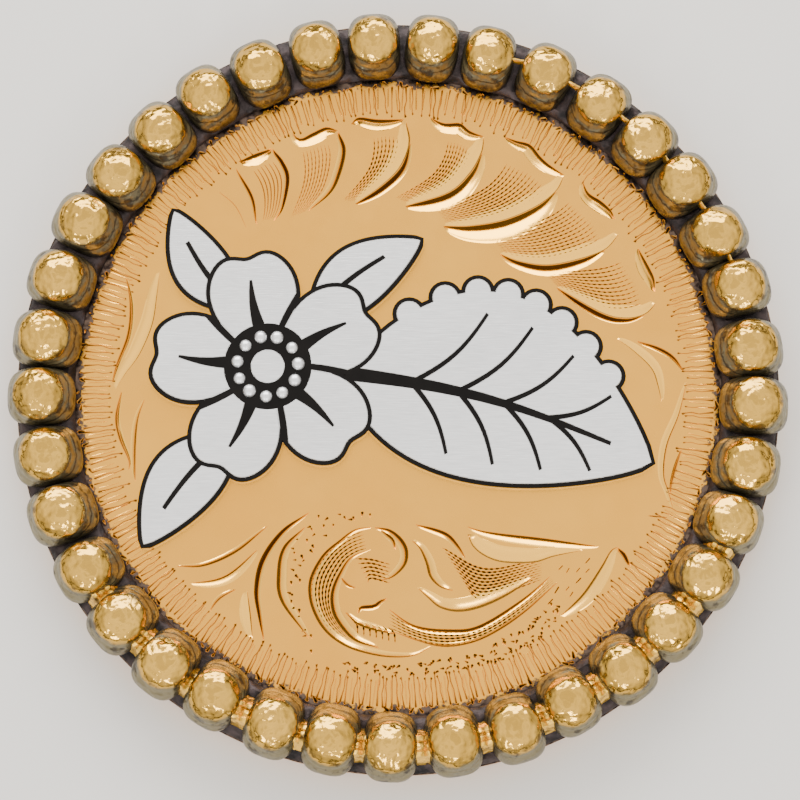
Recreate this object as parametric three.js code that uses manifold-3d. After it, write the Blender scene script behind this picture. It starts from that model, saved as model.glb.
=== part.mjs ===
// A round Western concho: a gilt brass plate with a hand-engraved face, a rim of soldered bead wire,
// and a nickel-silver overlay, a wild rose with leaves, whose outlines and veins are filled with
// black enamel. It lies face up on its flat back. Millimetres, +Z up, +Y towards the top of the face.
import * as THREE from 'three';
import { mergeVertices } from 'three/addons/utils/BufferGeometryUtils.js';
import Module from 'manifold-3d';

const wasm = await Module();
wasm.setup();

// Plate
const outerDiameter = 38.1;
const plateThickness = 1.6;
const plateChamfer = 0.3;
const plateInset = 0.35; // the beads stand out this far past the plate's edge

// Bead rim
const beadPitch = 2.96;
const beadWidth = 2.56; // along the rim
const beadDepth = 3.26; // across the rim
const beadHeight = 3.0; // of the whole ellipsoid, before it is sunk in the solder
const beadLift = 0.8; // centre of a bead above the plate's top
const solderHeight = 0.45;
const solderInset = 0.15; // the solder stops this far inside the beads' inner and outer reach
const firstBeadAngle = THREE.MathUtils.degToRad(-3.3);

// Engraved face
const faceChannel = 0.35; // dark gap between the beads and the engraving
const cutDepth = 0.24;
const cutWidth = 0.62;

// Silver overlay and its enamel
const overlayMargin = 3.24; // ground left between the overlay's two ends and the gap at the beads
const overlayThickness = 0.55;
const overlayFloor = 0.28; // silver left under the enamel
const outlineWidth = 0.2;
const veinWidth = 0.2;
const ribWidth = 0.7; // of the large leaf's middle rib where it leaves the flower
const flameWidth = 0.66; // of the dark flame in a petal where it leaves the eye
const enamelSink = 0.04; // enamel lies this far under the silver's top
const enamelGap = 0.03; // side clearance between enamel and silver

const ringRadius = outerDiameter / 2 - beadDepth / 2;
const plateRadius = outerDiameter / 2 - plateInset;
const faceRadius = ringRadius - beadDepth / 2 - faceChannel;
const overlayLength = 2 * (faceRadius - overlayMargin);
const beadCount = Math.round(2 * Math.PI * ringRadius / beadPitch);
const plateTop = plateThickness;

// Solids from three.js geometry, and back

const toSolid = (geometry) => {
  const bare = new THREE.BufferGeometry();
  bare.setAttribute('position', geometry.getAttribute('position'));
  if (geometry.index) bare.setIndex(geometry.index);
  const merged = mergeVertices(bare, 1e-5);
  const mesh = new wasm.Mesh({
    numProp: 3,
    vertProperties: new Float32Array(merged.getAttribute('position').array),
    triVerts: new Uint32Array(merged.index.array),
  });
  return new wasm.Manifold(mesh);
};

const toGeometry = (solid) => {
  const mesh = solid.getMesh();
  const geometry = new THREE.BufferGeometry();
  geometry.setAttribute('position', new THREE.BufferAttribute(mesh.vertProperties, 3));
  geometry.setIndex(new THREE.BufferAttribute(mesh.triVerts, 1));
  geometry.computeVertexNormals();
  return geometry;
};

const joinAll = (solids) => solids.reduce((sum, solid) => sum.add(solid));

// A turned body: the profile is a list of [radius, height]
const turned = (profile, sides) => {
  const points = profile.map(([radius, height]) => new THREE.Vector2(radius, height));
  return toSolid(new THREE.LatheGeometry(points, sides).rotateX(Math.PI / 2));
};

// A flat plate between two heights, from a closed outline of Vector2 points
const slab = (outline, low, high) => {
  const shape = new THREE.Shape(outline);
  const geometry = new THREE.ExtrudeGeometry(shape, { depth: high - low, bevelEnabled: false });
  return toSolid(geometry.translate(0, 0, low));
};

const onCircle = (radius, angle) => new THREE.Vector2(radius * Math.cos(angle), radius * Math.sin(angle));

// Engraving: each stroke is one pass of a flat graver, laid out on a face of this radius
const strokeLayoutRadius = 15.44;

// The stroke's steep wall runs along its path and its floor slopes up to the right of the travel
// (lean 1) or to the left (lean -1). It runs out to a point at both ends.
const graverCut = ({ path, lean = 1, wide = 1, deep = 1, steps = 6 }) => {
  const scale = faceRadius / strokeLayoutRadius;
  const curve = new THREE.SplineCurve(path.map(([x, y]) => new THREE.Vector2(x * scale, y * scale)));
  const overshoot = 0.05; // the tool reaches this far above the face
  const top = plateTop + overshoot;
  const start = curve.getPoint(0);
  const end = curve.getPoint(1);
  const vertices = [start.x, start.y, top];
  for (let i = 1; i < steps; i += 1) {
    const t = i / steps;
    const swell = Math.sin(Math.PI * t) ** 0.6;
    const point = curve.getPoint(t);
    const along = curve.getTangent(t);
    const across = new THREE.Vector2(along.y, -along.x).multiplyScalar(lean * cutWidth * wide * swell);
    vertices.push(point.x, point.y, top);
    vertices.push(point.x, point.y, plateTop - cutDepth * deep * swell);
    vertices.push(point.x + across.x, point.y + across.y, top);
  }
  vertices.push(end.x, end.y, top);
  const last = 3 * (steps - 1) + 1;
  const triangles = [];
  const face = (a, b, c) => triangles.push(...(lean > 0 ? [a, b, c] : [a, c, b]));
  for (let i = 1; i < steps; i += 1) {
    for (let side = 0; side < 3; side += 1) {
      const a = 3 * i - 2 + side;
      const b = 3 * i - 2 + (side + 1) % 3;
      if (i === 1) face(0, a, b);
      if (i === steps - 1) face(last, b, a);
      if (i < steps - 1) {
        face(a, a + 3, b + 3);
        face(a, b + 3, b);
      }
    }
  }
  const geometry = new THREE.BufferGeometry();
  geometry.setAttribute('position', new THREE.Float32BufferAttribute(vertices, 3));
  geometry.setIndex(triangles);
  return toSolid(geometry);
};

// The fan of leaves over the overlay. A leaf has a scalloped lip at the border, a deep outer edge
// that curls back to its root, and one fold between them.
const fanLeaves = [
  { lip: [[-8.0, 11.6], [-7.2, 12.0], [-6.3, 12.3]], edge: [[-6.3, 12.3], [-5.4, 10.7], [-6.2, 8.5]], fold: 0.5 },
  { lip: [[-5.3, 13.2], [-4.4, 13.1], [-3.0, 13.2]], edge: [[-3.0, 13.2], [-2.8, 11.1], [-4.9, 8.8]], fold: 0.5 },
  { lip: [[-2.4, 13.5], [-1.2, 13.9], [0.3, 13.8]], edge: [[0.3, 13.8], [0.3, 11.7], [-2.2, 9.4]], fold: 0.5 },
  { lip: [[1.6, 13.9], [2.7, 13.7], [4.3, 12.9]], edge: [[4.3, 12.9], [3.4, 10.7], [0.3, 9.3]], fold: 0.5 },
  { lip: [[5.3, 12.9], [6.8, 12.3], [8.3, 10.9]], edge: [[8.3, 10.9], [6.2, 8.8], [2.2, 8.3]], fold: 0.5 },
  { lip: [[9.2, 10.6], [10.1, 9.6], [11.0, 7.9]], edge: [[11.0, 7.9], [8.3, 6.3], [5.0, 6.9]], fold: 0.5 },
  { lip: [[11.9, 7.2], [12.6, 6.0], [12.8, 4.4]], edge: [[12.8, 4.4], [10.8, 3.6], [7.8, 5.2]], fold: 0.5 },
];

const between = ([ax, ay], [bx, by], share) => [ax + (bx - ax) * share, ay + (by - ay) * share];

const leafCuts = ({ lip, edge, fold }) => {
  const root = edge[edge.length - 1];
  const foldPath = [between(lip[0], lip[2], fold), between(between(lip[0], root, 0.5), edge[1], fold), root];
  return [
    { path: lip, wide: 0.55, deep: 0.6, steps: 3 },
    { path: edge, wide: 1.25, deep: 1.1 },
    { path: foldPath, wide: 0.5, deep: 0.6, steps: 4 },
  ];
};

// The scroll under the overlay, with its stem, its pod and the fan-shaped leaf at its end
const scrollCuts = [
  { path: [[-4.3, -9.2], [-3.6, -8.0], [-1.4, -6.7], [-0.1, -7.6]], lean: 1, wide: 0.9 },
  { path: [[-0.9, -6.7], [0.5, -7.6], [0.2, -8.9], [-0.8, -9.4]], lean: 1 },
  { path: [[-4.3, -9.2], [-3.5, -11.9], [-0.3, -13.1], [1.7, -12.5]], lean: -1, wide: 1.1, steps: 9 },
  { path: [[-1.2, -7.8], [-3.2, -9.6], [-2.5, -12.0], [-0.3, -12.4]], lean: -1, wide: 0.9, steps: 9 },
  { path: [[-2.0, -11.0], [-1.3, -10.5], [-0.5, -10.2]], lean: 1, wide: 0.7, steps: 4 },
  { path: [[-0.4, -10.8], [2.5, -11.7], [5.3, -10.4], [7.6, -9.0]], lean: 1, wide: 0.8 },
  { path: [[2.0, -12.6], [4.9, -11.7], [7.8, -9.4]], lean: -1, wide: 0.6 },
  { path: [[0.8, -6.6], [2.5, -7.1], [3.3, -8.3]], lean: 1 },
  { path: [[0.5, -7.4], [1.4, -9.0], [2.6, -9.9]], lean: -1 },
  { path: [[0.9, -9.7], [2.9, -10.9], [6.6, -9.2]], lean: -1, wide: 1.1 },
  { path: [[3.3, -6.6], [6.0, -7.2], [9.8, -7.7]], lean: 1, wide: 0.8 },
  { path: [[3.3, -7.0], [5.6, -8.6], [8.8, -7.9]], lean: -1, wide: 0.8 },
  { path: [[7.8, -11.1], [9.4, -9.4], [10.7, -7.7]], lean: 1, wide: 0.8 },
];

// Side leaves, left and right of the overlay
const sideCuts = [
  { path: [[-13.5, 5.7], [-13.4, 3.0], [-14.1, 0.3]], lean: -1, wide: 0.8 },
  { path: [[-11.8, 6.0], [-12.2, 3.0], [-13.9, 0.0]], lean: 1, wide: 0.9 },
  { path: [[-13.6, 0.0], [-13.8, -1.9], [-13.2, -4.0]], lean: -1, wide: 0.6 },
  { path: [[-12.4, -0.4], [-12.8, -2.7], [-12.8, -4.6]], lean: 1, wide: 0.5 },
  { path: [[-4.3, -6.0], [-6.7, -8.3], [-6.5, -12.3]], lean: -1, wide: 1.1, steps: 8 },
  { path: [[-4.5, -6.7], [-5.9, -9.0], [-4.3, -12.2]], lean: -1, wide: 0.9, steps: 8 },
  { path: [[-10.8, -8.7], [-8.2, -8.3], [-6.3, -6.7]], lean: -1, wide: 0.7 },
  { path: [[-10.1, -9.5], [-8.2, -9.0], [-6.8, -7.8]], lean: 1, wide: 0.8 },
  { path: [[-7.3, -9.8], [-7.0, -12.2]], lean: 1, wide: 0.7, steps: 4 },
  { path: [[10.7, 2.6], [12.2, 1.4], [12.9, -0.6]], lean: -1, wide: 1.0 },
  { path: [[11.7, 2.5], [13.2, 2.0], [14.1, 0.9]], lean: 1, wide: 0.8 },
  { path: [[14.2, 0.5], [13.0, -3.6], [13.4, -5.9]], lean: 1, wide: 0.6 },
];

const engravedPlate = () => {
  const sides = 60;
  const blank = turned([
    [0, 0],
    [plateRadius - plateChamfer, 0],
    [plateRadius, plateChamfer],
    [plateRadius, plateTop],
    [0, plateTop],
  ], sides);
  const strokes = [...fanLeaves.flatMap(leafCuts), ...scrollCuts, ...sideCuts];
  return blank.subtract(joinAll(strokes.map(graverCut)));
};

// Bead rim: a ring of ellipsoids soldered down in a low fillet that joins them all

const bead = (index) => {
  const geometry = new THREE.SphereGeometry(0.5, 8, 6);
  geometry.rotateX(Math.PI / 2);
  geometry.scale(beadDepth, beadWidth, beadHeight);
  geometry.translate(ringRadius, 0, plateTop + beadLift);
  return toSolid(geometry.rotateZ(firstBeadAngle + index * 2 * Math.PI / beadCount));
};

const beadRim = () => {
  const inner = ringRadius - beadDepth / 2 + solderInset;
  const outer = Math.min(ringRadius + beadDepth / 2 - solderInset, plateRadius) - solderInset;
  const solder = turned([
    [inner, plateTop],
    [outer, plateTop],
    [outer - solderHeight / 2, plateTop + solderHeight],
    [inner + solderHeight / 2, plateTop + solderHeight],
    [inner, plateTop],
  ], beadCount);
  const beads = Array.from({ length: beadCount }, (_, index) => bead(index));
  const below = turned([
    [0, plateTop - beadHeight],
    [outerDiameter, plateTop - beadHeight],
    [outerDiameter, plateTop],
    [0, plateTop],
  ], 24);
  return joinAll([solder, ...beads]).subtract(below);
};

// Overlay: every outline is drawn for a figure one unit long, centred on the face

const place = (x, y) => new THREE.Vector2(x * overlayLength, y * overlayLength);

const flowerCentre = place(-0.262, 0.045);
const petalCount = 5;
const petalReach = 0.243 * overlayLength;
const eyeRadius = 0.088 * overlayLength;
const pistilRadius = 0.034 * overlayLength;

// Pushes a closed counter-clockwise outline outwards by a distance
const grown = (outline, distance) => outline.map((point, i) => {
  const before = outline[(i + outline.length - 1) % outline.length];
  const after = outline[(i + 1) % outline.length];
  const along = after.clone().sub(before).normalize();
  return new THREE.Vector2(point.x + along.y * distance, point.y - along.x * distance);
});

const disc = (centre, radius, sides) => Array.from({ length: sides }, (_, i) => {
  return onCircle(radius, i * 2 * Math.PI / sides).add(centre);
});

const petalOutline = (index) => {
  const axis = Math.PI / 2 + 0.2 + index * 2 * Math.PI / petalCount;
  const halfAngle = Math.PI / petalCount;
  const points = [flowerCentre.clone()];
  const steps = 8;
  for (let i = 0; i <= steps; i += 1) {
    const share = 2 * i / steps - 1;
    const lobe = Math.cos(share * 1.4) ** 0.36;
    const notch = 0.09 * Math.exp(-((share / 0.22) ** 2));
    points.push(onCircle(petalReach * (lobe - notch), axis + share * halfAngle).add(flowerCentre));
  }
  return points;
};

// A leaf from its base to its tip. belly is its widest half-width on each side of the middle rib,
// as a share of its length, and bend bows the rib sideways.
const leaves = [
  { base: place(-0.10, 0.03), tip: place(0.505, -0.150), left: 0.345, right: 0.265, bend: 0.05, veins: 4, steps: 8 },
  { base: place(-0.34, -0.10), tip: place(-0.505, -0.315), left: 0.24, right: 0.25, bend: -0.06, veins: 0, steps: 5 },
  { base: place(-0.33, 0.17), tip: place(-0.455, 0.365), left: 0.24, right: 0.22, bend: 0.06, veins: 0, steps: 5 },
  { base: place(-0.17, 0.15), tip: place(0.045, 0.305), left: 0.21, right: 0.25, bend: 0.07, veins: 0, steps: 5 },
];

const ribPoint = (leaf, t) => {
  const along = leaf.tip.clone().sub(leaf.base);
  const across = new THREE.Vector2(-along.y, along.x);
  return leaf.base.clone().addScaledVector(along, t).addScaledVector(across, leaf.bend * Math.sin(Math.PI * t));
};

const leafEdgePoint = (leaf, t, side) => {
  const along = leaf.tip.clone().sub(leaf.base);
  const across = new THREE.Vector2(-along.y, along.x);
  const belly = side > 0 ? leaf.left : leaf.right;
  const width = belly * Math.sin(Math.PI * t ** 0.8) ** 0.8;
  return ribPoint(leaf, t).addScaledVector(across, side * width);
};

const leafOutline = (leaf) => {
  const { steps } = leaf;
  const points = [];
  for (let i = 0; i <= steps; i += 1) points.push(leafEdgePoint(leaf, i / steps, -1));
  for (let i = steps - 1; i > 0; i -= 1) points.push(leafEdgePoint(leaf, i / steps, 1));
  return points;
};

// The large leaf's upper edge carries a row of round knobs
const knobCount = 8;
const knobRadius = 0.026 * overlayLength;
const knobCentres = Array.from({ length: knobCount }, (_, i) => leafEdgePoint(leaves[0], 0.13 + 0.095 * i, 1));

// A tapered line between two points, bowed sideways by a share of its length
const taperedLine = (from, to, startWidth, endWidth, bow, steps) => {
  const along = to.clone().sub(from);
  const across = new THREE.Vector2(-along.y, along.x);
  const unit = across.clone().normalize();
  const sides = [1, -1].map((side) => Array.from({ length: steps + 1 }, (_, i) => {
    const t = i / steps;
    const half = THREE.MathUtils.lerp(startWidth, endWidth, t) / 2;
    const point = from.clone().addScaledVector(along, t);
    point.addScaledVector(across, bow * Math.sin(Math.PI * t));
    return point.addScaledVector(unit, side * half);
  }));
  return [...sides[1], ...sides[0].reverse()];
};

// Enamelled lines inside the silver. Each is [from, to, start width, end width, bow, steps].
const leafLines = (leaf) => {
  const reach = leaf.veins ? 0.86 : 0.7;
  const width = leaf.veins ? ribWidth : veinWidth * 1.6;
  const lines = [[ribPoint(leaf, 0), ribPoint(leaf, reach), width, veinWidth, leaf.bend * reach, 4]];
  for (let i = 0; i < leaf.veins; i += 1) {
    const start = 0.2 + 0.15 * i;
    for (const side of [1, -1]) {
      const tip = leafEdgePoint(leaf, start + 0.17, side).lerp(ribPoint(leaf, start + 0.17), 0.22);
      lines.push([ribPoint(leaf, start), tip, veinWidth * 1.3, veinWidth * 0.8, side * -0.08, 1]);
    }
  }
  return lines;
};

// A petal has a line along its joint with the next one, and a dark flame up its middle
const petalLines = (index) => {
  const onPetal = (reach, turn) => {
    const angle = Math.PI / 2 + 0.2 + (index + turn) * 2 * Math.PI / petalCount;
    return onCircle(petalReach * reach, angle).add(flowerCentre);
  };
  return [
    [onPetal(0, 0.5), onPetal(0.75, 0.5), veinWidth, outlineWidth * 2, 0.05, 2],
    [onPetal(0.3, 0), onPetal(0.74, 0), flameWidth, veinWidth * 0.6, 0.04, 2],
  ];
};

// The solid of some enamelled lines, drawn narrower by shrink on each side
const drawn = (lines, low, high, shrink) => joinAll(lines.map(([from, to, startWidth, endWidth, bow, steps]) => {
  const outline = taperedLine(from, to, startWidth - 2 * shrink, endWidth - 2 * shrink, bow, steps);
  return slab(outline, low, high);
}));

const flower = (low, high, grow) => {
  const petals = Array.from({ length: petalCount }, (_, i) => slab(grown(petalOutline(i), grow), low, high));
  return joinAll([...petals, slab(disc(flowerCentre, eyeRadius, 12), low, high)]);
};

const foliage = (low, high, grow) => {
  const blades = leaves.map((leaf) => slab(grown(leafOutline(leaf), grow), low, high));
  const knobs = knobCentres.map((centre) => slab(disc(centre, knobRadius + grow, 8), low, high));
  return joinAll([...blades, ...knobs]);
};

// The raised silver between the enamelled lines, grown by a distance all round. The flower lies over
// the leaves, so their ribs stop at its outline.
const silverFields = (low, high, grow) => {
  const eye = slab(disc(flowerCentre, eyeRadius - grow, 12), low, high);
  const pistil = slab(disc(flowerCentre, pistilRadius + grow, 8), low, high);
  const petalIndexes = Array.from({ length: petalCount }, (_, i) => i);
  const petals = flower(low, high, grow).subtract(drawn(petalIndexes.flatMap(petalLines), low, high, grow));
  const blades = foliage(low, high, grow).subtract(drawn(leaves.flatMap(leafLines), low, high, grow));
  const uncovered = blades.subtract(flower(low, high, outlineWidth - grow));
  return petals.add(uncovered).subtract(eye).add(pistil);
};

const silhouette = (low, high) => {
  return flower(low, high, outlineWidth).add(foliage(low, high, outlineWidth));
};

const floorTop = plateTop + overlayFloor;
const overlayTop = plateTop + overlayThickness;
const enamelTop = overlayTop - enamelSink;

const silverOverlay = () => silhouette(plateTop, floorTop).add(silverFields(plateTop, overlayTop, 0));

const enamelFill = () => silhouette(floorTop, enamelTop).subtract(
  silverFields(floorTop - overlayFloor / 2, overlayTop, enamelGap),
);

// Assembly

const gilt = { color: 0xe2bd80, roughness: 0.3, metalness: 1 };
const beadGold = { color: 0xcdb27c, roughness: 0.12, metalness: 1 };
const silver = { color: 0xd6d6d8, roughness: 0.35, metalness: 1 };
const blackEnamel = { color: 0x14110f, roughness: 0.15, metalness: 0 };

const concho = new THREE.Group();

const addPiece = (name, solid, finish) => {
  const mesh = new THREE.Mesh(toGeometry(solid), new THREE.MeshStandardMaterial(finish));
  mesh.name = name;
  concho.add(mesh);
};

addPiece('base_plate', engravedPlate(), gilt);
addPiece('bead_rim', beadRim(), beadGold);
addPiece('silver_overlay', silverOverlay(), silver);
addPiece('enamel_fill', enamelFill(), blackEnamel);

export default concho;
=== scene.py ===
import math

import bmesh
import bpy
import numpy as np
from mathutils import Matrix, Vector, noise


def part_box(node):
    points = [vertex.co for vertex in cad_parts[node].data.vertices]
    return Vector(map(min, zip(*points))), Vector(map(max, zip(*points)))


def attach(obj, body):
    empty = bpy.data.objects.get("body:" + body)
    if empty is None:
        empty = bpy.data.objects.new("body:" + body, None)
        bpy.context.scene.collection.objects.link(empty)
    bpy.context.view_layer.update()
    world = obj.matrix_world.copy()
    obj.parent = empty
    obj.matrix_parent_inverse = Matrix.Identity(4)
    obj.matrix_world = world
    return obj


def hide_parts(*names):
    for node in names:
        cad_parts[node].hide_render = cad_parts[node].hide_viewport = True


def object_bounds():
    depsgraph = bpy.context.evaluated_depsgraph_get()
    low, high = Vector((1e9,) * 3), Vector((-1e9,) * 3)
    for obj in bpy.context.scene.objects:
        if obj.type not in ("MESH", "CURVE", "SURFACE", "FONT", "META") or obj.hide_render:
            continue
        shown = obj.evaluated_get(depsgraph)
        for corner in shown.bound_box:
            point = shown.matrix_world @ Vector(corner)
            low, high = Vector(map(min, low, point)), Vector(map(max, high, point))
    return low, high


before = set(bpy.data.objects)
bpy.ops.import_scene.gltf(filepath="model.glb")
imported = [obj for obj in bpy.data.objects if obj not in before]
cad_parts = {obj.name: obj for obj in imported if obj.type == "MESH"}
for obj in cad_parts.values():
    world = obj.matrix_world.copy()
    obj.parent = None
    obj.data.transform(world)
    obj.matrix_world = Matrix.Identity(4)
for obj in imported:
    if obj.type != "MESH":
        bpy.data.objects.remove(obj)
cad_low, cad_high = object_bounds()
mm = 0.001  # lengths are written in millimetres, and this turns them into metres


# The stand: a pale table top, a soft light tent and a camera that looks down on the concho from
# close by, tipped a little towards the lower edge of the face.
plate_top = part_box("base_plate")[1].z / mm
camera_distance = 120.0
camera_tilt = math.radians(10.0)
picture_width, mm_per_pixel = 800, 0.04905
view_width = picture_width * mm_per_pixel
aim = Vector((0.086, -0.49, plate_top))
towards_camera = Vector((0, -math.sin(camera_tilt), math.cos(camera_tilt)))


def linear(code):
    """An sRGB hex colour as linear red, green, blue and alpha."""
    channels = [int(code[i:i + 2], 16) / 255 for i in (1, 3, 5)]
    return [c / 12.92 if c <= 0.04045 else ((c + 0.055) / 1.055) ** 2.4 for c in channels] + [1.0]


def feed(tree, node, **links):
    """Gives a node's inputs a value or an output, each by its name with _ for a space, or by _ and
    its number. A node stands for its first output."""
    for name, value in links.items():
        socket = node.inputs[int(name[1:])] if name[1:].isdigit() else node.inputs[name.replace("_", " ")]
        if isinstance(value, bpy.types.Node):
            value = value.outputs[0]
        if isinstance(value, bpy.types.NodeSocket):
            tree.links.new(value, socket)
        else:
            socket.default_value = value


def add_node(tree, kind, settings=None, **links):
    """A new node with its settings, and its inputs fed."""
    node = tree.nodes.new(kind)
    for name, value in (settings or {}).items():
        setattr(node, name, value)
    feed(tree, node, **links)
    return node


def new_material(name):
    """A material with only a surface shader; gives the material, its tree and the shader."""
    material = bpy.data.materials.new(name)
    material.use_nodes = True
    tree = material.node_tree
    return material, tree, tree.nodes["Principled BSDF"]


camera_data = bpy.data.cameras.new("camera")
camera_data.sensor_width = 36.0
camera_data.lens = camera_data.sensor_width * camera_distance / view_width
camera_data.clip_start = 0.005
camera = bpy.data.objects.new("camera", camera_data)
camera.location = (aim + towards_camera * camera_distance) * mm
camera.rotation_euler = towards_camera.to_track_quat("Z", "Y").to_euler()
bpy.context.scene.collection.objects.link(camera)
bpy.context.scene.camera = camera


def soft_light(name, place, size, energy):
    """A rectangular soft box that faces the concho; place and size are in millimetres."""
    data = bpy.data.lights.new(name, "AREA")
    data.shape = "RECTANGLE"
    data.size, data.size_y = size[0] * mm, size[1] * mm
    data.energy = energy
    light = bpy.data.objects.new(name, data)
    light.location = Vector(place) * mm
    light.rotation_euler = Vector(place).to_track_quat("Z", "Y").to_euler()
    bpy.context.scene.collection.objects.link(light)


soft_light("back_panel", (-20, 260, 165), (330, 150), 1.3)
soft_light("front_left_lamp", (-150, -250, 220), (80, 80), 0.25)
soft_light("front_right_lamp", (80, -270, 220), (80, 80), 0.25)

# The tent's cloth is brightest overhead, with a greyer sheet where a level face mirrors it, and
# ends in a dark gap just over the table
world = bpy.data.worlds.new("light_tent")
world.use_nodes = True
tree = world.node_tree
times, eased = {"operation": "MULTIPLY"}, {"interpolation_type": "SMOOTHSTEP"}
direction = add_node(tree, "ShaderNodeTexCoord").outputs["Generated"]
upwards = add_node(tree, "ShaderNodeSeparateXYZ", Vector=direction).outputs["Z"]
cloth = add_node(tree, "ShaderNodeMapRange", eased, Value=upwards, From_Min=0.02, From_Max=0.26,
                 To_Min=0.08, To_Max=1.0)
overhead = add_node(tree, "ShaderNodeMapRange", Value=upwards, From_Min=0.3, From_Max=1.0,
                    To_Min=1.1, To_Max=2.5)
mirrored = add_node(tree, "ShaderNodeVectorMath", {"operation": "DOT_PRODUCT"}, _0=direction,
                    _1=(0, math.sin(camera_tilt), math.cos(camera_tilt))).outputs["Value"]
sheet_edge, sheet_middle = math.cos(math.radians(28)), math.cos(math.radians(12))
grey_sheet = add_node(tree, "ShaderNodeMapRange", eased, Value=mirrored, From_Min=sheet_edge,
                      From_Max=sheet_middle, To_Min=1.0, To_Max=0.7)
lit = add_node(tree, "ShaderNodeMath", times, _0=cloth, _1=overhead)
glow = add_node(tree, "ShaderNodeMath", times, _0=lit, _1=grey_sheet)
feed(tree, tree.nodes["Background"], Color=linear("#f6f3ee"), Strength=glow)
bpy.context.scene.world = world

floor_mesh = bpy.data.meshes.new("table_top")
floor_reach = 2.0  # in metres, far past the tent
corners = [(-1, -1), (1, -1), (1, 1), (-1, 1)]
floor_mesh.from_pydata([(x * floor_reach, y * floor_reach, 0) for x, y in corners], [], [(0, 1, 2, 3)])
table_top = bpy.data.objects.new("table_top", floor_mesh)
bpy.context.scene.collection.objects.link(table_top)

# Matt pale paint, which keeps the table top quiet.
painted, tree, shader = new_material("painted_table_top")
feed(tree, shader, Base_Color=linear("#dedbd6"), Roughness=0.7)
floor_mesh.materials.append(painted)


# Base plate: a round of gilt brass. An engraver has cut its face by hand with a flat graver, a fan
# of leaves above the overlay and a scroll below it, shaded them with fine lines and framed them
# with a band of close radial cuts.
plate_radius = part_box("base_plate")[1].x / mm
plate_chamfer = 0.3
face_radius = 15.44
clearance = 0.02  # a cutting tool reaches this far above the face


def mesh_piece(name, points, faces, materials=(), kinds=None):
    """A mesh object from points in millimetres; kinds gives each face the number of its material."""
    mesh = bpy.data.meshes.new(name)
    mesh.from_pydata([tuple(p) for p in np.asarray(points, float) * mm], [], faces)
    for material in materials:
        mesh.materials.append(material)
    if kinds is not None:
        mesh.polygons.foreach_set("material_index", kinds)
    piece = bpy.data.objects.new(name, mesh)
    bpy.context.scene.collection.objects.link(piece)
    return piece


def drop(piece):
    """Deletes a helper object and its mesh."""
    mesh = piece.data
    bpy.data.objects.remove(piece)
    bpy.data.meshes.remove(mesh)


def bake_modifiers(piece):
    """Turns a piece's evaluated result into its plain mesh."""
    depsgraph = bpy.context.evaluated_depsgraph_get()
    baked = bpy.data.meshes.new_from_object(piece.evaluated_get(depsgraph))
    before = piece.data
    piece.modifiers.clear()
    piece.data = baked
    bpy.data.meshes.remove(before)


def combine(piece, tools, operation):
    """Cuts the tools from a piece, or joins them to it, one after another."""
    for tool in tools:
        modifier = piece.modifiers.new("combine", "BOOLEAN")
        modifier.operation = operation
        modifier.solver = "MANIFOLD"
        modifier.material_mode = "TRANSFER"
        modifier.object = tool
    bake_modifiers(piece)
    for tool in tools:
        drop(tool)
    return piece


def smooth_path(points, count):
    """Evenly spaced points on a smooth curve through the given ones, their directions, its length."""
    knots = np.array(points, float)
    knots = np.vstack([2 * knots[0] - knots[1], knots, 2 * knots[-1] - knots[-2]])
    t = np.linspace(0, 1, 16, endpoint=False)[:, None]
    dense = []
    for a, b, c, d in zip(knots, knots[1:], knots[2:], knots[3:]):
        dense.append(0.5 * (2 * b + (c - a) * t + (2 * a - 5 * b + 4 * c - d) * t ** 2
                            + (3 * b - a - 3 * c + d) * t ** 3))
    dense = np.vstack([*dense, knots[-2]])
    length = np.concatenate([[0], np.cumsum(np.linalg.norm(np.diff(dense, axis=0), axis=1))])
    at = np.linspace(0, length[-1], count + 1)
    path = np.stack([np.interp(at, length, dense[:, k]) for k in (0, 1)], 1)
    along = np.gradient(path, axis=0)
    return path, along / np.linalg.norm(along, axis=1)[:, None], length[-1]


wall = 0.085  # how far a deep cut's steep wall leans, seen from above
floor_section = [(0.0, 1.0), (0.2, 0.82), (0.4, 0.55), (0.6, 0.31), (0.8, 0.12), (0.95, 0.02), (1.0, None)]
flat_step, line_step, rocked_step = 0.16, 0.15, 0.075  # how far apart the sections of a cut are
fullness = 0.55  # the lower it is, the sooner a cut reaches its full width and depth
dot_pitch = 0.27
dot_narrowing = 0.4  # the share of its width that a rocked line loses between two dots


def flat_cut(path, width, depth, lean=1, peak=0.5):
    """One pass of the flat graver: a steep wall on the path and a hollow floor that slopes up to
    the right of it (lean 1) or to the left (lean -1). It is widest at peak, a share of its length."""
    section = [(0.0, None)] + [(wall + (width - wall) * share, deep) for share, deep in floor_section]
    return {"path": path, "section": section, "depth": depth, "lean": lean, "peak": peak, "ripple": 0,
            "step": flat_step, "kinds": [1] + [0] * (len(section) - 1)}


def line_cut(path, width=0.11, depth=0.075, peak=0.4, ripple=0.0):
    """One pass of the pointed graver. ripple is how strongly it was rocked, which breaks the line
    into dots."""
    return {"path": path, "section": [(-width / 2, None), (0.0, 1.0), (width / 2, None)], "depth": depth,
            "lean": 1, "peak": peak, "ripple": ripple, "step": rocked_step if ripple else line_step,
            "kinds": [1, 1, 1]}


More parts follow.
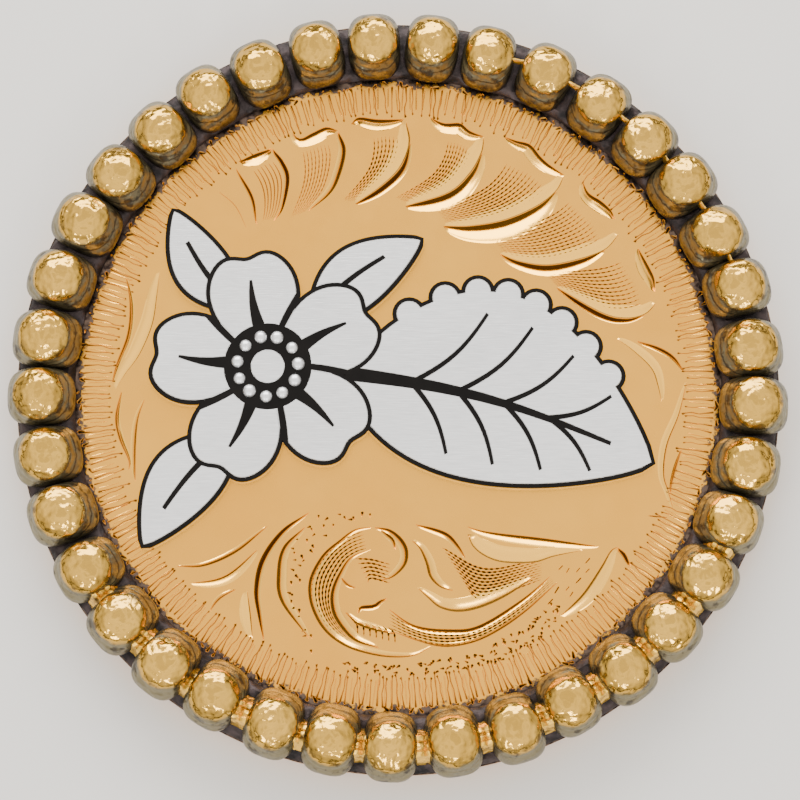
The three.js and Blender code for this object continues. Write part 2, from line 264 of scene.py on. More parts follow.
def cut_shape(cut):
    """The points and faces of what a cut removes, and the number of each face's material."""
    count = max(6, int(smooth_path(cut["path"], 8)[2] / cut["step"]))
    line, along, length = smooth_path(cut["path"], count)
    across = np.stack([along[:, 1], -along[:, 0]], 1) * cut["lean"]
    t = np.linspace(0, 1, count + 1)
    swell = np.sin(math.pi * t ** (math.log(0.5) / math.log(cut["peak"]))) ** fullness
    rocked = 1 - cut["ripple"] * (0.5 - 0.5 * np.cos(t * length / dot_pitch * 2 * math.pi))
    points = [(*line[0], plate_top + clearance)]
    for i in range(1, count):
        for reach, deep in cut["section"]:
            spot = line[i] + across[i] * reach * swell[i] * (1 - dot_narrowing + dot_narrowing * rocked[i])
            rise = clearance if deep is None else -cut["depth"] * swell[i] * rocked[i] * deep
            points.append((*spot, plate_top + rise))
    points.append((*line[-1], plate_top + clearance))
    wide, last = len(cut["section"]), len(points) - 1
    faces, kinds = [], []
    for i in range(count):
        for k in range(wide):
            a, b = 1 + (i - 1) * wide + k, 1 + (i - 1) * wide + (k + 1) % wide
            if i == 0:
                face = (0, a + wide, b + wide)
            elif i == count - 1:
                face = (a, last, b)
            else:
                face = (a, a + wide, b + wide, b)
            faces.append(face if cut["lean"] > 0 else face[::-1])
            kinds.append(cut["kinds"][k])
    return points, faces, kinds


def cutting_tools(cuts, materials):
    """Tool meshes for the cuts. Cuts that come near each other go into different tools."""
    cell = 0.2  # cuts that share a square of this size, or have two next to each other, are near
    tools = []
    for cut in cuts:
        points, faces, kinds = cut_shape(cut)
        cells = {(int(x // cell), int(y // cell)) for x, y, z in points}
        around = {(x + i, y + j) for x, y in cells for i in (-1, 0, 1) for j in (-1, 0, 1)}
        tool = next((t for t in tools if not t["cells"] & around), None)
        if tool is None:
            tool = {"points": [], "faces": [], "kinds": [], "cells": set()}
            tools.append(tool)
        tool["faces"] += [tuple(k + len(tool["points"]) for k in face) for face in faces]
        tool["kinds"] += kinds
        tool["points"] += points
        tool["cells"] |= cells
    return [mesh_piece("cutting_tool", t["points"], t["faces"], materials, t["kinds"]) for t in tools]


def blend_paths(first, second, share, start=0.0, end=1.0, count=10):
    """A path that runs between two others, from one share of their length to another."""
    steps = 40
    a, b = smooth_path(first, steps)[0], smooth_path(second, steps)[0]
    at = np.linspace(start, end, count) * steps
    mixed = a * (1 - share) + b * share
    return [[np.interp(s, range(steps + 1), mixed[:, k]) for k in (0, 1)] for s in at]


# Gilt brass, as the flat ground of the face shows it: pale gold with a satin hand polish, faint
# waves and hair scratches, and dark patina in the gap along the beads. A noise's scale says how
# many of its patches go into a millimetre.
field_gilt, tree, shader = new_material("satin_gilt_brass")
in_colour, times_plus = {"data_type": "RGBA"}, {"operation": "MULTIPLY_ADD"}
place = add_node(tree, "ShaderNodeTexCoord").outputs["Object"]
waves = add_node(tree, "ShaderNodeTexNoise", Vector=place, Scale=0.9 / mm, Detail=2.0)
clouds = add_node(tree, "ShaderNodeTexNoise", Vector=place, Scale=0.17 / mm, Detail=3.0)
specks = add_node(tree, "ShaderNodeTexNoise", Vector=place, Scale=4.2 / mm, Detail=2.0)
tone = add_node(tree, "ShaderNodeMix", in_colour, _0=clouds, _6=linear("#f2a834"), _7=linear("#fbba47"))
level = add_node(tree, "ShaderNodeVectorMath", times, _0=place, _1=(1, 1, 0))
radius = add_node(tree, "ShaderNodeVectorMath", {"operation": "LENGTH"}, _0=level).outputs["Value"]
frayed = add_node(tree, "ShaderNodeMath", times_plus, _0=waves, _1=0.7 * mm, _2=radius)
ragged = add_node(tree, "ShaderNodeMath", times_plus, _0=specks, _1=0.9 * mm, _2=frayed)
gap = add_node(tree, "ShaderNodeMapRange", Value=ragged, From_Min=(face_radius + 0.84) * mm,
               From_Max=(face_radius + 0.96) * mm)
height = add_node(tree, "ShaderNodeSeparateXYZ", Vector=place).outputs["Z"]
upper = add_node(tree, "ShaderNodeMapRange", Value=height, From_Min=(plate_top - 0.7) * mm,
                 From_Max=(plate_top - 0.05) * mm)
patina = add_node(tree, "ShaderNodeMath", times, _0=gap, _1=upper)
mottled = add_node(tree, "ShaderNodeMapRange", Value=specks, From_Min=0.4, From_Max=0.62)
crust = add_node(tree, "ShaderNodeMix", in_colour, _0=mottled, _6=linear("#2f2522"), _7=linear("#66554a"))
colour = add_node(tree, "ShaderNodeMix", in_colour, _0=patina, _6=tone.outputs[2], _7=crust.outputs[2])
rough = add_node(tree, "ShaderNodeMapRange", Value=waves, To_Min=0.22, To_Max=0.34)
drawn_out = add_node(tree, "ShaderNodeMapping", Vector=place, Scale=(3 / mm, 25 / mm, 3 / mm),
                     Rotation=(0, 0, 0.5))
scratches = add_node(tree, "ShaderNodeTexNoise", Vector=drawn_out, Scale=1.0, Detail=2.0)
relief = add_node(tree, "ShaderNodeMath", times_plus, _0=scratches, _1=0.15, _2=waves)
bump = add_node(tree, "ShaderNodeBump", Height=relief, Strength=0.25, Distance=0.02 * mm)
feed(tree, shader, Base_Color=colour.outputs[2], Metallic=1.0, Roughness=rough, Normal=bump)

# The same brass where the flat graver has just left it: mirror bright, with fine drag marks.
bright_cut, tree, shader = new_material("bright_cut_gilt_brass")
place = add_node(tree, "ShaderNodeTexCoord").outputs["Object"]
drag = add_node(tree, "ShaderNodeTexNoise", Vector=place, Scale=2.6 / mm, Detail=2.0)
bump = add_node(tree, "ShaderNodeBump", Height=drag, Strength=0.3, Distance=0.01 * mm)
feed(tree, shader, Base_Color=linear("#ffc04c"), Metallic=1.0, Roughness=0.16, Normal=bump)

# Walls and fine lines of the cuts. Their colour runs from the face's gold down to dark brown at the bottom
# of the cut: painted shade, darker the deeper the cut.
line_gilt_painted_shade, tree, shader = new_material("line_gilt_brass_painted_shade")
place = add_node(tree, "ShaderNodeTexCoord").outputs["Object"]
height = add_node(tree, "ShaderNodeSeparateXYZ", Vector=place).outputs["Z"]
sunk = add_node(tree, "ShaderNodeMapRange", Value=height, From_Min=(plate_top - 0.08) * mm,
                From_Max=(plate_top - 0.005) * mm)
colour = add_node(tree, "ShaderNodeMix", in_colour, _0=sunk, _6=linear("#34210c"), _7=linear("#f2ba5e"))
feed(tree, shader, Base_Color=colour.outputs[2], Metallic=0.9, Roughness=0.35)

# The fan of leaves. lip is the leaf's top edge at the border, outer its deep right-hand edge, inner
# its left-hand edge; both run down to the root. inside and outside are the widths of the hollows
# on the two sides of the outer edge. shade is where its shading lines start and end between inner
# and outer, how many there are, and how deep.
fan = [
    {"lip": [(-8.0, 11.6), (-7.2, 12.0), (-6.3, 12.3)],
     "outer": [(-6.3, 12.3), (-5.7, 11.6), (-5.4, 10.7), (-5.7, 9.2), (-6.2, 8.5)],
     "inner": [(-8.1, 11.3), (-7.2, 9.8), (-7.0, 8.3)], "inside": 0.3, "outside": 0, "ripple": 0.0,
     "shade": (0.3, 0.78, 6, 0.05)},
    {"lip": [(-5.3, 13.1), (-4.9, 12.8), (-4.3, 13.1), (-3.6, 13.4), (-3.0, 13.2)],
     "outer": [(-3.0, 13.2), (-2.6, 12.2), (-2.9, 10.8), (-3.4, 9.9), (-4.5, 9.0)],
     "inner": [(-5.2, 12.8), (-4.9, 10.8), (-5.5, 8.5)], "inside": 0.45, "outside": 0, "ripple": 0.5,
     "shade": (0.12, 0.66, 8, 0.06)},
    {"lip": [(-2.4, 13.5), (-2.0, 13.9), (-1.0, 13.8), (0.3, 13.8)],
     "outer": [(0.4, 13.7), (0.6, 12.6), (0.1, 11.3), (-0.9, 10.3), (-2.2, 9.4)],
     "inner": [(-2.3, 13.3), (-2.2, 11.4), (-3.2, 9.5)], "inside": 0.85, "outside": 0.45, "ripple": 0.8,
     "shade": (0.36, 0.84, 8, 0.11)},
    {"lip": [(1.6, 13.9), (2.3, 13.6), (3.1, 13.6), (3.6, 13.2), (4.3, 12.9)],
     "outer": [(4.3, 12.9), (4.2, 12.1), (3.6, 11.0), (2.5, 10.0), (0.3, 9.3)],
     "inner": [(1.6, 13.6), (1.3, 11.6), (-0.6, 9.8)], "inside": 0.9, "outside": 0.8, "ripple": 0.85,
     "shade": (0.36, 0.84, 9, 0.11)},
    {"lip": [(5.3, 12.9), (5.9, 12.7), (6.6, 12.5), (7.1, 11.9), (7.5, 11.5), (8.3, 10.9)],
     "outer": [(8.3, 10.9), (7.9, 10.1), (6.9, 9.3), (5.3, 8.6), (3.6, 8.3), (2.2, 8.3)],
     "inner": [(5.2, 12.6), (4.1, 10.7), (1.6, 9.2)], "inside": 0.8, "outside": 1.1, "ripple": 0.7,
     "shade": (0.2, 0.84, 11, 0.11)},
    {"lip": [(9.2, 10.6), (9.5, 10.0), (10.1, 9.6), (10.6, 9.1), (10.8, 8.6)],
     "outer": [(11.0, 7.9), (10.3, 7.1), (9.0, 6.6), (7.4, 6.3), (6.0, 6.5), (5.0, 6.9)],
     "inner": [(9.1, 10.3), (7.5, 8.9), (4.4, 7.8)], "inside": 0.75, "outside": 0.6, "ripple": 0.75,
     "shade": (0.05, 0.8, 12, 0.1)},
    {"lip": [(11.9, 7.2), (12.4, 6.3), (12.7, 5.6), (12.7, 4.9)],
     "outer": [(12.8, 4.4), (12.2, 3.8), (11.2, 3.6), (10.0, 3.9), (7.8, 5.2)],
     "inner": [(11.8, 6.9), (10.1, 6.2), (7.0, 5.9)], "inside": 0.7, "outside": 0.35, "ripple": 0.7,
     "shade": (0.03, 0.8, 11, 0.1)},
]

# A hollow is the deeper the wider it is, and the shading lines in the middle of a leaf start a
# little sooner than those at its sides.
lip_width, lip_depth = 0.65, 0.18
cuts = []
for leaf in fan:
    inside_depth = 0.12 + (0.1 if leaf["outside"] else 0.2) * leaf["inside"]
    cuts.append(flat_cut(leaf["outer"], leaf["inside"], inside_depth, peak=0.4))
    if leaf["outside"]:
        cuts.append(flat_cut(leaf["outer"][1:], leaf["outside"], 0.13 + 0.16 * leaf["outside"], lean=-1))
    cuts.append(flat_cut(leaf["lip"], lip_width, lip_depth))
    first, last, count, deep = leaf["shade"]
    for share in np.linspace(first, last, count):
        path = blend_paths(leaf["inner"], leaf["outer"], share, 0.12 + 0.1 * abs(share - 0.55), 0.97)
        cuts.append(line_cut(path, 0.08 + 0.45 * deep, deep, ripple=leaf["ripple"]))
cuts.append(line_cut([(-9.0, 10.1), (-8.1, 9.3), (-7.5, 8.1)], 0.07, 0.03))
cuts.append(flat_cut(fan[0]["inner"], 0.25, 0.12))

# The scroll below the overlay: its curl, stem, middle leaf, pod and the fan-shaped end leaf
curl_outer = [(-1.2, -6.75), (-2.1, -6.85), (-2.9, -7.4), (-3.7, -8.1), (-4.3, -9.2), (-4.35, -10.2),
              (-4.0, -11.2), (-3.4, -12.0), (-2.5, -12.6), (-1.4, -12.95), (-0.3, -13.1), (0.8, -13.0),
              (1.7, -12.5)]
curl_inner = [(-1.2, -7.8), (-2.3, -8.2), (-2.9, -9.0), (-3.25, -9.8), (-3.3, -10.5), (-3.1, -11.2),
              (-2.5, -12.0), (-1.9, -12.4), (-0.9, -12.65)]
curl_tip = [(-1.2, -6.75), (-0.4, -6.85), (0.2, -7.3), (0.5, -7.9), (0.4, -8.6), (-0.2, -9.2), (-0.9, -9.4)]
eye_line = [(-2.0, -11.0), (-1.85, -10.6), (-1.2, -10.5), (-0.9, -10.3), (-0.5, -10.2)]
stem_upper = [(-0.5, -10.7), (0.8, -11.5), (2.5, -11.7), (3.9, -11.5), (5.9, -10.3), (7.4, -9.1)]
stem_lower = [(-0.4, -11.8), (0.9, -12.3), (2.2, -12.6), (3.6, -12.4), (4.9, -11.8), (6.3, -10.8),
              (7.8, -9.4)]
leaf_upper = [(0.8, -6.6), (1.8, -6.8), (2.5, -7.1), (3.0, -7.7), (3.3, -8.3)]
leaf_left = [(0.6, -7.4), (1.0, -7.8), (1.3, -8.5), (1.5, -9.2), (2.0, -9.7), (2.7, -9.9)]
leaf_lower = [(0.9, -9.7), (1.4, -10.2), (2.0, -10.7), (2.9, -10.9), (4.0, -10.7), (5.3, -10.1), (6.6, -9.2)]
pod_upper = [(3.3, -6.7), (4.0, -6.9), (5.0, -7.05), (7.2, -7.3), (9.8, -7.7)]
pod_lower = [(3.35, -7.1), (3.6, -7.7), (4.2, -8.2), (5.1, -8.5), (6.6, -8.5), (7.6, -8.2), (9.0, -7.9)]
end_leaf = [(7.8, -11.1), (8.9, -10.0), (9.8, -8.7), (10.3, -7.9), (10.7, -7.7)]
cuts += [
    flat_cut(curl_outer, 0.45, 0.17, lean=-1),
    flat_cut(curl_inner, 0.5, 0.2, lean=-1, peak=0.65),
    flat_cut(curl_tip, 0.45, 0.18),
    flat_cut([(-0.9, -6.8), (-0.2, -7.3), (-0.1, -7.9)], 0.3, 0.12),
    flat_cut(eye_line, 0.3, 0.14),
    flat_cut(stem_upper, 0.35, 0.14),
    flat_cut(stem_lower, 0.3, 0.12, lean=-1),
    flat_cut(leaf_upper, 0.35, 0.14),
    flat_cut(leaf_left, 0.5, 0.18, lean=-1),
    flat_cut(leaf_lower, 0.75, 0.25, lean=-1),
    flat_cut(pod_upper, 0.5, 0.16),
    flat_cut(pod_lower, 0.85, 0.24, lean=-1, peak=0.35),
    flat_cut(end_leaf, 0.7, 0.2),
    flat_cut([(10.6, -7.7), (11.05, -8.05), (11.3, -8.7)], 0.3, 0.14),
    flat_cut([(-2.8, -9.1), (-2.4, -9.5), (-2.0, -9.7)], 0.2, 0.08),
    flat_cut([(-2.6, -10.9), (-2.0, -11.5), (-1.2, -11.8), (-0.1, -12.0)], 0.4, 0.16, lean=-1),
]
for share in np.linspace(0.16, 0.9, 6):
    path = blend_paths(curl_outer, curl_inner, share, 0.04, 0.72)
    cuts.append(line_cut(path, 0.13, 0.13, ripple=0.7))
for share in np.linspace(0.2, 0.86, 5):
    path = blend_paths(stem_upper, stem_lower, share, 0.0, 0.99)
    cuts.append(line_cut(path, 0.13, 0.13, ripple=0.75))
for k in range(10):
    path = [(2.1 + 0.14 * k, -7.75 - 0.23 * k), (4.2, -8.8 - 0.16 * k), (7.0, -8.3 - 0.11 * k)]
    cuts.append(line_cut(path, 0.16, 0.13, 0.35, 0.8))
for k in range(7):
    x, y = -2.3 + 0.3 * k, -11.2 - 0.07 * k
    cuts.append(line_cut([(x, y), (x + 0.3, y - 0.3), (x + 0.35, y - 0.8)], 0.15, 0.12, ripple=0.6))
for k in range(6):
    path = [(-2.1 + 0.12 * k, -8.3 - 0.24 * k), (-1.3, -8.35 - 0.18 * k), (-0.35, -8.6 - 0.18 * k)]
    cuts.append(line_cut(path, 0.15, 0.12, ripple=0.7))

# Leaves at the left and right edges and at the lower left
cuts += [
    flat_cut([(-13.5, 5.7), (-13.3, 4.3), (-13.4, 2.8), (-13.9, 1.3), (-14.1, 0.3)], 0.3, 0.1, lean=-1),
    flat_cut([(-11.8, 6.0), (-11.9, 4.8), (-12.1, 3.3), (-12.7, 1.8), (-13.4, 0.8), (-13.9, 0.0)],
             0.7, 0.15),
    flat_cut([(-13.6, 0.0), (-13.9, -1.3), (-13.7, -2.4), (-13.2, -3.5), (-13.2, -4.0)], 0.3, 0.1, lean=-1),
    flat_cut([(-12.4, -0.4), (-12.7, -1.4), (-12.8, -2.7), (-12.8, -4.6)], 0.3, 0.12),
    flat_cut([(-4.3, -6.0), (-5.7, -6.9), (-6.7, -8.3), (-7.0, -9.8), (-6.8, -11.1), (-6.5, -12.3)],
             0.4, 0.2, lean=-1),
    flat_cut([(-4.5, -6.7), (-5.6, -7.7), (-5.9, -9.0), (-5.7, -10.4), (-4.3, -12.2)], 0.55, 0.2, lean=-1),
    flat_cut([(-10.8, -8.7), (-9.4, -8.7), (-7.8, -8.0), (-6.3, -6.7)], 0.3, 0.14, lean=-1),
    flat_cut([(-10.1, -9.5), (-8.4, -9.1), (-6.8, -7.8)], 0.5, 0.13),
    flat_cut([(-9.1, -10.9), (-8.6, -10.3), (-7.8, -9.8)], 0.25, 0.1, lean=-1),
    flat_cut([(-7.3, -9.8), (-7.1, -11.0), (-7.0, -12.2)], 0.6, 0.14),
    flat_cut([(10.7, 2.6), (11.5, 2.0), (12.4, 1.1), (12.7, 0.3), (12.9, -0.6)], 0.5, 0.16, lean=-1),
    flat_cut([(11.7, 2.5), (12.8, 2.2), (13.6, 1.7), (14.1, 0.9)], 0.3, 0.12),
    flat_cut([(14.2, 0.5), (13.8, -1.2), (13.2, -2.7), (13.0, -4.1), (13.2, -5.0), (13.4, -5.9)], 0.4, 0.1),
    flat_cut([(13.9, -2.9), (13.4, -4.6), (13.3, -5.2)], 0.2, 0.08),
    line_cut([(12.1, -6.2), (12.6, -6.25), (13.2, -6.3)], 0.12, 0.06),
]


def node_tree(name, inputs):
    """A new Geometry Nodes tree with named inputs; gives the tree and its inputs' sockets."""
    tree = bpy.data.node_groups.new(name, "GeometryNodeTree")
    for label, kind in {"Geometry": "Geometry", **inputs}.items():
        tree.interface.new_socket(label, in_out="INPUT", socket_type="NodeSocket" + kind)
    tree.interface.new_socket("Geometry", in_out="OUTPUT", socket_type="NodeSocketGeometry")
    return tree, tree.nodes.new("NodeGroupInput").outputs


def finish_tree(tree, instances, material):
    """Ends a tree: real geometry instead of instances, with its material."""
    real = add_node(tree, "GeometryNodeRealizeInstances", Geometry=instances)
    clad = add_node(tree, "GeometryNodeSetMaterial", Geometry=real, Material=material)
    add_node(tree, "NodeGroupOutput", Geometry=clad)


def run_tree(piece, tree, values):
    """Runs a tree on a piece with these input values and keeps the plain mesh."""
    modifier = piece.modifiers.new(tree.name, "NODES")
    modifier.node_group = tree
    for item in tree.interface.items_tree:
        if item.in_out == "INPUT" and item.name in values:
            modifier[item.identifier] = values[item.name]
    bake_modifiers(piece)
    return piece


plus, minus, over = {"operation": "ADD"}, {"operation": "SUBTRACT"}, {"operation": "DIVIDE"}
cosine, sine, power = {"operation": "COSINE"}, {"operation": "SINE"}, {"operation": "POWER"}


def random_about(tree, middle, spread, seed):
    """A random number for each point, within spread of middle."""
    low = add_node(tree, "ShaderNodeMath", minus, _0=middle, _1=spread)
    high = add_node(tree, "ShaderNodeMath", plus, _0=middle, _1=spread)
    number = add_node(tree, "FunctionNodeRandomValue", {"data_type": "FLOAT"}, _2=low, _3=high, Seed=seed)
    return number.outputs[1]


def ring_tree(name):
    """Copies of a small piece in a ring. It has Count even steps, and the copies stand on every
    Every-th of them, from First on. Crowding draws them closer at -Y and wider at +Y, and Side
    Swell widens them at -X and +X."""
    numbers = ("Count", "Every", "First", "Copies", "Seed")
    sizes = ("First Angle", "Radius", "Radial Spread", "Crowding", "Height", "Slip", "Turn", "Tilt",
             "Size Spread", "Side Swell")
    tree, inputs = node_tree(name, {**dict.fromkeys(numbers, "Int"), **dict.fromkeys(sizes, "Float"),
                                    "Material": "Material"})
    index = add_node(tree, "GeometryNodeInputIndex")
    step = add_node(tree, "ShaderNodeMath", times_plus, _0=index, _1=inputs["Every"], _2=inputs["First"])
    slip = random_about(tree, 0.0, inputs["Slip"], inputs["Seed"])
    slipped = add_node(tree, "ShaderNodeMath", plus, _0=step, _1=slip)
    share = add_node(tree, "ShaderNodeMath", over, _0=slipped, _1=inputs["Count"])
    even = add_node(tree, "ShaderNodeMath", times, _0=share, _1=2 * math.pi)
    swing = add_node(tree, "ShaderNodeMath", cosine, _0=even)
    crowd = add_node(tree, "ShaderNodeMath", times, _0=swing, _1=inputs["Crowding"])
    turned = add_node(tree, "ShaderNodeMath", plus, _0=even, _1=inputs["First Angle"])
    angle = add_node(tree, "ShaderNodeMath", minus, _0=turned, _1=crowd)
    seeds = [add_node(tree, "ShaderNodeMath", plus, _0=inputs["Seed"], _1=k) for k in (1, 2, 3, 4, 5)]
    radius = random_about(tree, inputs["Radius"], inputs["Radial Spread"], seeds[4])
    sides = [add_node(tree, "ShaderNodeMath", side, _0=angle) for side in (cosine, sine)]
    x, y = (add_node(tree, "ShaderNodeMath", times, _0=side, _1=radius) for side in sides)
    spot = add_node(tree, "ShaderNodeCombineXYZ", X=x, Y=y, Z=inputs["Height"])
    points = add_node(tree, "GeometryNodePoints", Count=inputs["Copies"], Position=spot)
    turn = add_node(tree, "ShaderNodeCombineXYZ", X=random_about(tree, 0.0, inputs["Tilt"], seeds[0]),
                    Y=random_about(tree, 0.0, inputs["Tilt"], seeds[1]),
                    Z=random_about(tree, angle, inputs["Turn"], seeds[2]))
    size = random_about(tree, 1.0, inputs["Size Spread"], seeds[3])
    sideways = add_node(tree, "ShaderNodeMath", power, _0=sides[0], _1=2.0)
    swollen = add_node(tree, "ShaderNodeMath", times_plus, _0=sideways, _1=inputs["Side Swell"], _2=1.0)
    wide = add_node(tree, "ShaderNodeMath", times, _0=size, _1=swollen)
    scale = add_node(tree, "ShaderNodeCombineXYZ", X=size, Y=wide, Z=size)
    copied = add_node(tree, "GeometryNodeInstanceOnPoints", Points=points, Instance=inputs["Geometry"],
                      Rotation=turn, Scale=scale)
    finish_tree(tree, copied, inputs["Material"])
    return tree


def groove(name, stations, start, end, sway=0.0):
    """A V-shaped tool along X that sways from side to side. A station is how far along, half its
    width, and its depth."""
    points = [(start, 0, clearance)]
    for i, (along, half, deep) in enumerate(stations):
        side = sway * (i % 3 - 1)
        points += [(along, side + half, clearance), (along, side, -deep), (along, side - half, clearance)]
    points.append((end, 0, clearance))
    last, faces = len(points) - 1, []
    for i in range(len(stations) + 1):
        for k in range(3):
            a, b = 3 * i - 2 + k, 3 * i - 2 + (k + 1) % 3
            if i == 0:
                faces.append((0, a + 3, b + 3))
            elif i == len(stations):
                faces.append((a, last, b))
            else:
                faces.append((a, a + 3, b + 3, b))
    return mesh_piece(name, points, faces)


# The border: close radial cuts that each end inwards in a little nib, with shallow gleaming cuts
# between them, and a ragged line of punch marks along the gap at the beads. Copies that might
# touch go into different tools.
tick_count, tick_kinds, mark_count = 292, 4, 200
tick_stations = [(-1.36, 0.08, 0.07), (-1.24, 0.043, 0.036), (-0.95, 0.048, 0.036), (-0.6, 0.043, 0.032),
                 (-0.3, 0.052, 0.04), (0.04, 0.072, 0.065)]
tick_sway = 0.035
gleam_stations = [(-1.1, 0.05, 0.018), (-0.6, 0.06, 0.02), (-0.1, 0.055, 0.02)]
mark_stations = [(-0.12, 0.06, 0.05), (0.05, 0.09, 0.08)]
ticks = ring_tree("border_ticks")
tick_values = {"Count": tick_count, "Every": tick_kinds, "Copies": tick_count // tick_kinds,
               "Radius": face_radius * mm, "Radial Spread": 0.06 * mm, "Crowding": 0.16,
               "Height": plate_top * mm, "Slip": 0.24, "Turn": 0.08, "Tilt": 0.006, "Size Spread": 0.12,
               "Material": line_gilt_painted_shade}
border = []
for kind in range(tick_kinds):
    tick = groove("border_cut", tick_stations, -1.46, 0.12, sway=tick_sway * math.cos(2.3 * kind))
    border.append(run_tree(tick, ticks, {**tick_values, "First": kind, "Seed": 11 + kind}))
for first in (0, 1):
    gleam = groove("border_gleam", gleam_stations, -1.25, 0.05)
    border.append(run_tree(gleam, ticks, {
        **tick_values, "Every": 2, "First": first, "Copies": tick_count // 2,
        "First Angle": math.pi / tick_count, "Seed": 27 + first, "Material": bright_cut}))
    mark = groove("edge_mark", mark_stations, -0.22, 0.13)
    border.append(run_tree(mark, ticks, {
        **tick_values, "Count": mark_count, "Every": 2, "First": first, "Copies": mark_count // 2,
        "Slip": 0.5, "Turn": 1.6, "Size Spread": 0.5, "Radius": (face_radius + 0.18) * mm,
        "Radial Spread": 0.12 * mm, "Seed": 31 + first}))


def scatter_tree(name):
    """Copies of a punch all over a flat area, no closer together than Spacing."""
    tree, inputs = node_tree(name, {"Punch": "Object", "Spacing": "Float", "Angle": "Float", "Turn": "Float",
                                    "Size Spread": "Float", "Seed": "Int", "Material": "Material"})
    square = add_node(tree, "ShaderNodeMath", times, _0=inputs["Spacing"], _1=inputs["Spacing"])
    density = add_node(tree, "ShaderNodeMath", over, _0=1.0, _1=square)
    points = add_node(tree, "GeometryNodeDistributePointsOnFaces", {"distribute_method": "POISSON"},
                      Mesh=inputs["Geometry"], Distance_Min=inputs["Spacing"], Density_Max=density,
                      Seed=inputs["Seed"])
    punch = add_node(tree, "GeometryNodeObjectInfo", Object=inputs["Punch"]).outputs["Geometry"]
    turn = add_node(tree, "ShaderNodeCombineXYZ",
                    Z=random_about(tree, inputs["Angle"], inputs["Turn"], inputs["Seed"]))
    next_seed = add_node(tree, "ShaderNodeMath", plus, _0=inputs["Seed"], _1=1)
    size = random_about(tree, 1.0, inputs["Size Spread"], next_seed)
    copied = add_node(tree, "GeometryNodeInstanceOnPoints", Points=points, Instance=punch, Rotation=turn,
                      Scale=size)
    finish_tree(tree, copied, inputs["Material"])
    return tree


# The stippled ground around the scroll, and the slanted dashes before the end leaf. Each ground is
# punched in a few passes.
scatter = scatter_tree("punched_ground")
dot = groove("dot_punch", [(-0.09, 0.06, 0.05), (0.04, 0.09, 0.09)], -0.2, 0.1)
dash = groove("dash_punch", [(-0.12, 0.045, 0.06), (0.14, 0.05, 0.06)], -0.24, 0.2)
grounds = [
    {"area": [(-5.0, -7.3), (-4.0, -6.2), (-1.2, -5.9), (-1.2, -6.4), (-3.2, -6.9), (-4.6, -8.6),
              (-4.75, -10.4), (-4.0, -12.2), (-4.2, -12.9), (-5.2, -10.8), (-5.4, -9.0)],
     "punch": dot, "turn": 1.5, "spacing": 0.4, "passes": 2},
    {"area": [(-2.6, -13.2), (0.4, -13.5), (2.4, -13.1), (4.4, -12.5), (6.2, -11.5), (7.6, -10.3),
              (8.0, -11.0), (6.6, -12.4), (4.6, -13.4), (1.0, -13.9), (-2.6, -13.8)],
     "punch": dot, "turn": 1.5, "spacing": 0.38, "passes": 4},
    {"area": [(7.8, -8.5), (9.6, -8.2), (9.0, -9.4), (7.6, -10.9), (7.1, -10.3), (8.0, -9.3)],
     "punch": dash, "turn": 0.15, "spacing": 0.5, "passes": 2},
]
for ground in grounds:
    corners = ground["area"]
    for seed in range(ground["passes"]):
        area = mesh_piece("ground", [(x, y, plate_top) for x, y in corners], [tuple(range(len(corners)))])
        border.append(run_tree(area, scatter, {
            "Punch": ground["punch"], "Spacing": ground["spacing"] * mm, "Angle": 0.9,
            "Turn": ground["turn"], "Size Spread": 0.2, "Seed": 5 + 10 * seed, "Material": line_gilt_painted_shade}))
drop(dot)
drop(dash)

plate_sides = 180
turn = np.arange(plate_sides) * 2 * math.pi / plate_sides
rings = [(plate_radius - plate_chamfer, 0), (plate_radius, plate_chamfer), (plate_radius, plate_top)]
plate_points = [(r * math.cos(a), r * math.sin(a), z) for r, z in rings for a in turn]
plate_faces = [tuple(range(plate_sides))[::-1], tuple(range(2 * plate_sides, 3 * plate_sides))]
for ring in (0, plate_sides):
    for k in range(plate_sides):
        after = (k + 1) % plate_sides
        plate_faces.append((ring + k, ring + after, ring + plate_sides + after, ring + plate_sides + k))
plate = mesh_piece("engraved_plate", plate_points, plate_faces, [field_gilt])
combine(plate, cutting_tools(cuts, [bright_cut, line_gilt_painted_shade]) + border, "DIFFERENCE")


level_normal = 0.99995  # a face whose normal rises at least this much lies level


def shade_by_angle(piece, limit):
    """Smooth shading, with a sharp edge around every level face and wherever two faces meet at
    more than the limit."""
    work = bmesh.new()
    work.from_mesh(piece.data)
    for edge in work.edges:
        if len(edge.link_faces) == 2:
            first, second = (face.normal for face in edge.link_faces)
            one_level = (abs(first.z) > level_normal) != (abs(second.z) > level_normal)
            edge.smooth = not (one_level or first.angle(second, 0) > limit)
    for face in work.faces:
        face.smooth = abs(face.normal.z) <= level_normal
    work.to_mesh(piece.data)
    work.free()


shade_by_angle(plate, math.radians(32))
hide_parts("base_plate")
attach(plate, "root")


# Bead rim: a length of gilt bead wire, bent round and soldered down with the plate's edge. The
# beads are burnished domes on rough flanks; patina has turned the solder and the gaps dark.
bead_count = 37
bead_depth = 3.26
side_swell = 0.085  # the beads at the left and right of the rim are wider than the rest by this share
rim_top = cad_high.z / mm
ring_radius = cad_high.x / mm - bead_depth / 2
first_bead = math.radians(-3.3)
solder_top = 2.0
